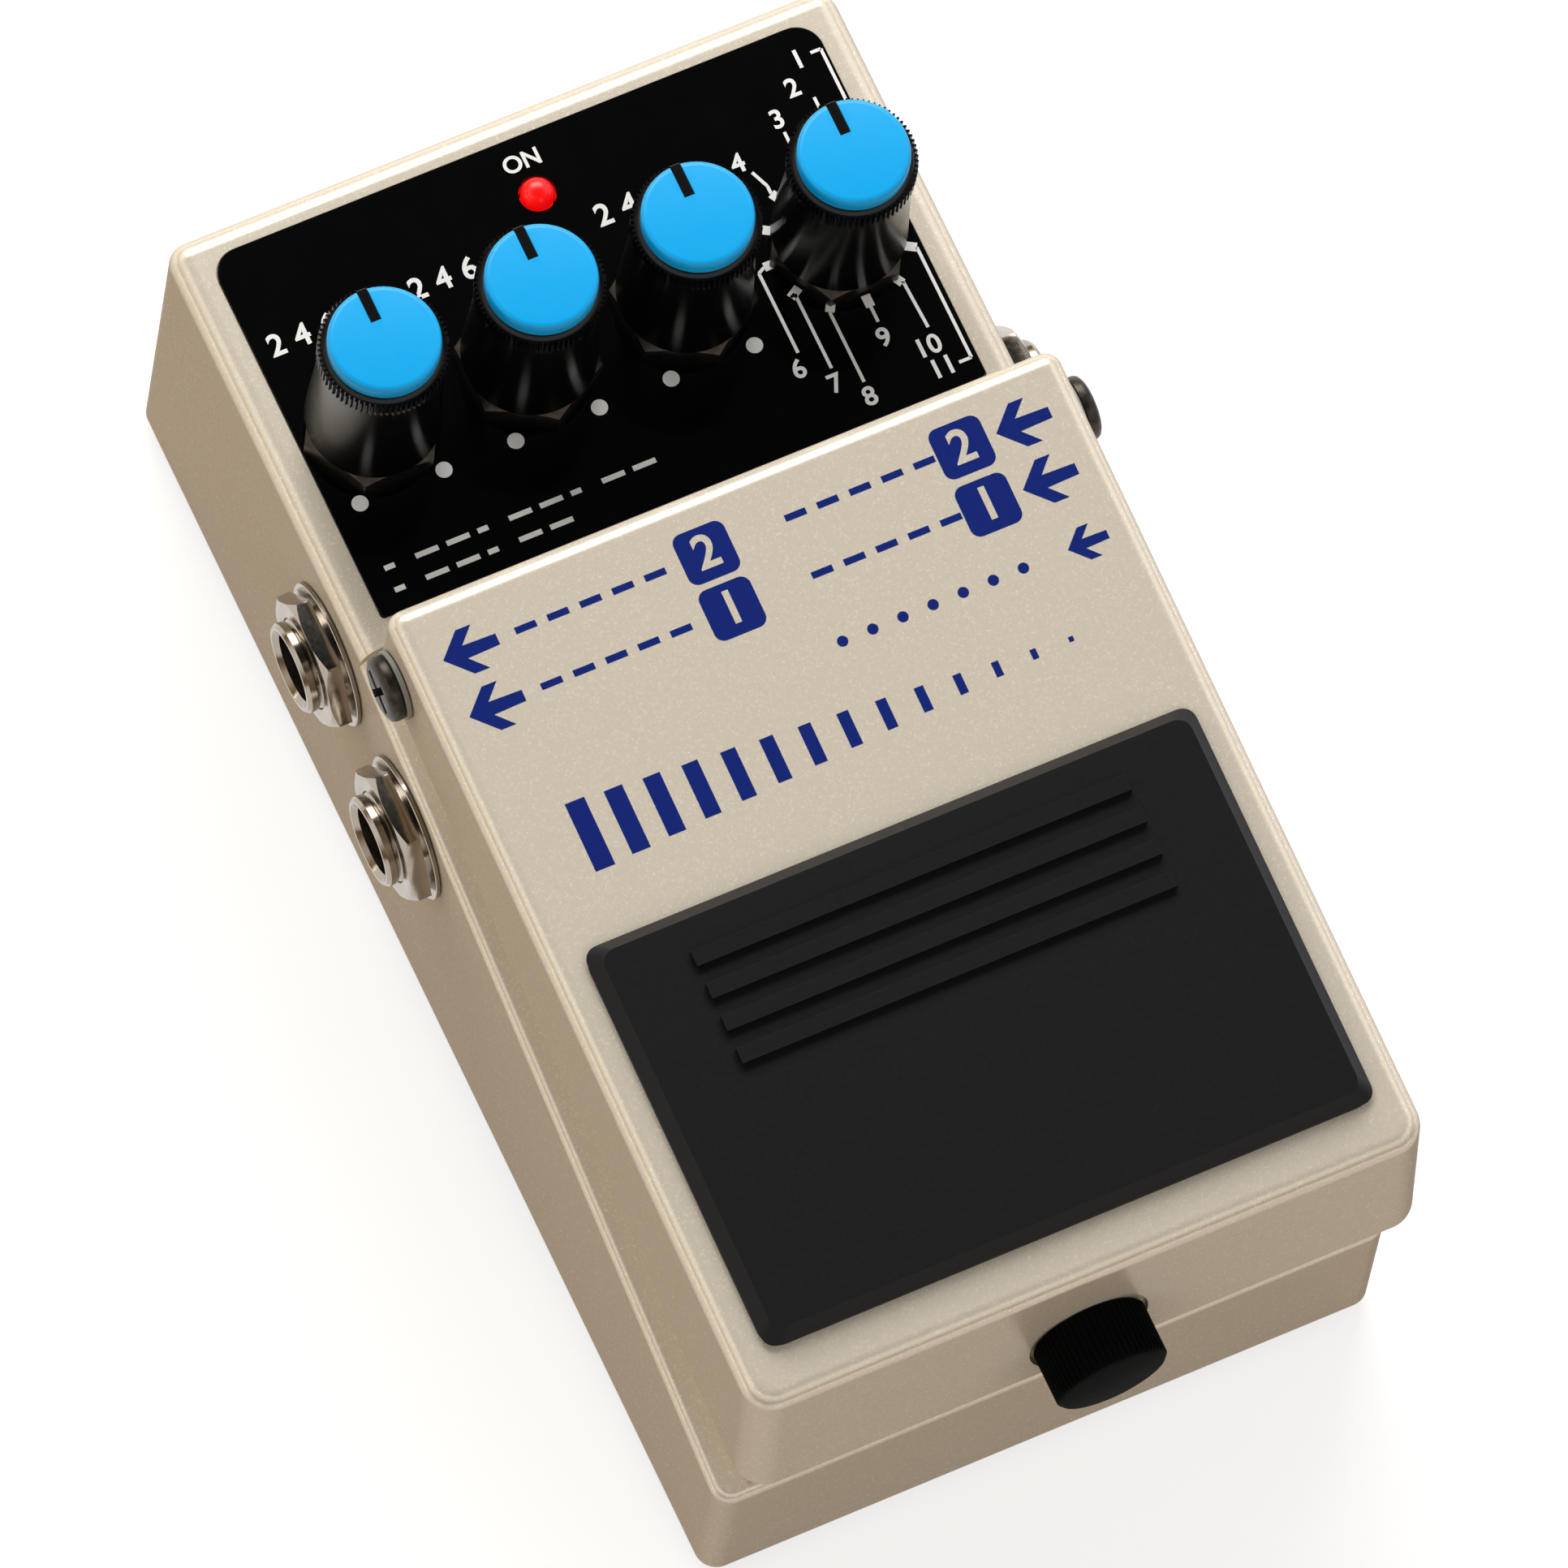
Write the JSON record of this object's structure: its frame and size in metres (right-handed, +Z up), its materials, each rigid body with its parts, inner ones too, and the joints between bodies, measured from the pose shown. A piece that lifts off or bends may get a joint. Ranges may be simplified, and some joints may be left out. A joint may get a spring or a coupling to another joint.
{
  "type": "digital delay pedal",
  "caption": "Compact floor effects pedal: cast case, sprung treadle with rubber pad over a battery bay, black control panel with blue-capped knobs, side jacks.",
  "frame": {"origin": "centre of the bounding box, on the floor under the pedal", "axes": "+X to the player's right, +Y towards the rear wall, +Z up"},
  "size_m": [0.073, 0.129, 0.0576],
  "materials": {
    "cream_paint": "pearl cream enamel, fine texture",
    "panel_black": "gloss black with white print",
    "pad_rubber": "satin black rubber",
    "base_rubber": "matt black rubber",
    "knob_black": "satin black moulding",
    "cap_blue": "sky blue moulding",
    "steel": "zinc plate",
    "nickel": "nickel plate",
    "dark_steel": "black zinc plate",
    "brass": "bare",
    "nylon_grey": "moulded nylon",
    "black_plastic": "moulded",
    "led_red": "diffused red lens",
    "board_green": "solder mask",
    "chip_black": "moulded package",
    "can_silver": "capacitor can",
    "battery_shell": "plain dark jacket",
    "foam_grey": "closed-cell foam",
    "lead_red": "insulation",
    "lead_black": "insulation"
  },
  "bodies": {
    "case": {"battery": "battery_shell", "battery_foam": "foam_grey", "battery_lead_black": "lead_black", "battery_lead_block": "nylon_grey", "battery_lead_red": "lead_red", "battery_snap": "black_plastic", "board_screws": "steel", "bottom_plate": "steel", "bottom_screws": "dark_steel", "chassis": "cream_paint", "control_board": "board_green", "control_nuts": "dark_steel", "control_plate": "panel_black", "dc_inlet": "black_plastic", "dc_inlet_pin": "nickel", "footswitch_body": "black_plastic", "footswitch_nut": "steel", "indicator_led": "led_red", "jack_housings": "black_plastic", "jack_left_front_barrel": "nickel", "jack_left_rear_barrel": "nickel", "jack_nuts": "nickel", "jack_right_front_barrel": "nickel", "jack_right_middle_barrel": "nickel", "jack_right_rear_barrel": "nickel", "jack_washers": "nickel", "main_board": "board_green", "main_board_capacitors": "can_silver", "main_board_chips": "chip_black", "pivot_screws": "dark_steel", "pot_bodies": "steel", "rubber_base_sheet": "base_rubber", "selector_switch_body": "steel"},
    "pivot_bushes": {"pivot_bushes": "nylon_grey", "return_spring": "steel"},
    "treadle": {"treadle": "cream_paint", "treadle_pad": "pad_rubber", "thumb_screw_bush": "brass", "switch_plunger": "base_rubber"},
    "thumb_washer": {"thumb_screw_washer": "nylon_grey"},
    "thumb_screw": {"thumb_screw": "black_plastic"},
    "switch_button": {"footswitch_button": "nylon_grey"},
    "knob_1": {"knob_1_body": "knob_black", "knob_1_cap": "cap_blue", "knob_1_shaft": "steel"},
    "knob_2": {"knob_2_body": "knob_black", "knob_2_cap": "cap_blue", "knob_2_shaft": "steel"},
    "knob_3": {"knob_3_body": "knob_black", "knob_3_cap": "cap_blue", "knob_3_shaft": "steel"},
    "knob_4": {"knob_4_body": "knob_black", "knob_4_cap": "cap_blue", "knob_4_shaft": "steel"}
  },
  "joints": [
    {"name": "treadle_press", "type": "hinge", "parent": "case", "child": "pivot_bushes", "pos_m": [0, 0.0155, 0.046], "axis": [-1, 0, 0], "range_deg": [-2.2, 0], "stiffness_Nm_per_rad": 14, "springref_deg": 0.14, "deforming": ["return_spring"]},
    {"name": "treadle_open", "type": "hinge", "parent": "pivot_bushes", "child": "treadle", "pos_m": [0, 0.0155, 0.046], "axis": [-1, 0, 0], "range_deg": [0, 60]},
    {"name": "thumb_screw_travel", "type": "slide", "parent": "treadle", "child": "thumb_washer", "axis": [0, -1, 0], "range_m": [0, 0.0033]},
    {"name": "thumb_screw_turn", "type": "hinge", "parent": "thumb_washer", "child": "thumb_screw", "pos_m": [0, -0.0615, 0.0356], "axis": [0, -1, 0], "range_deg": [0, 1440]},
    {"name": "switch_press", "type": "slide", "parent": "case", "child": "switch_button", "axis": [0, 0, 1], "range_m": [-0.0009, 0]},
    {"name": "level_knob", "type": "hinge", "parent": "case", "child": "knob_1", "pos_m": [-0.02256, 0.04145, 0.05], "axis": [0, 0, 1], "range_deg": [-150, 150]},
    {"name": "feedback_knob", "type": "hinge", "parent": "case", "child": "knob_2", "pos_m": [-0.00752, 0.04145, 0.05], "axis": [0, 0, 1], "range_deg": [-150, 150]},
    {"name": "time_knob", "type": "hinge", "parent": "case", "child": "knob_3", "pos_m": [0.00752, 0.04145, 0.05], "axis": [0, 0, 1], "range_deg": [-150, 150]},
    {"name": "mode_selector", "type": "hinge", "parent": "case", "child": "knob_4", "pos_m": [0.02256, 0.04145, 0.05], "axis": [0, 0, 1], "range_deg": [-60, 240]}
  ],
  "couplings": [
    {"joint": "thumb_screw_travel", "follows": "thumb_screw_turn", "m_per_rad": 0.00012732},
    {"joint": "switch_press", "follows": "treadle_press", "m_per_rad": 0.022}
  ]
}
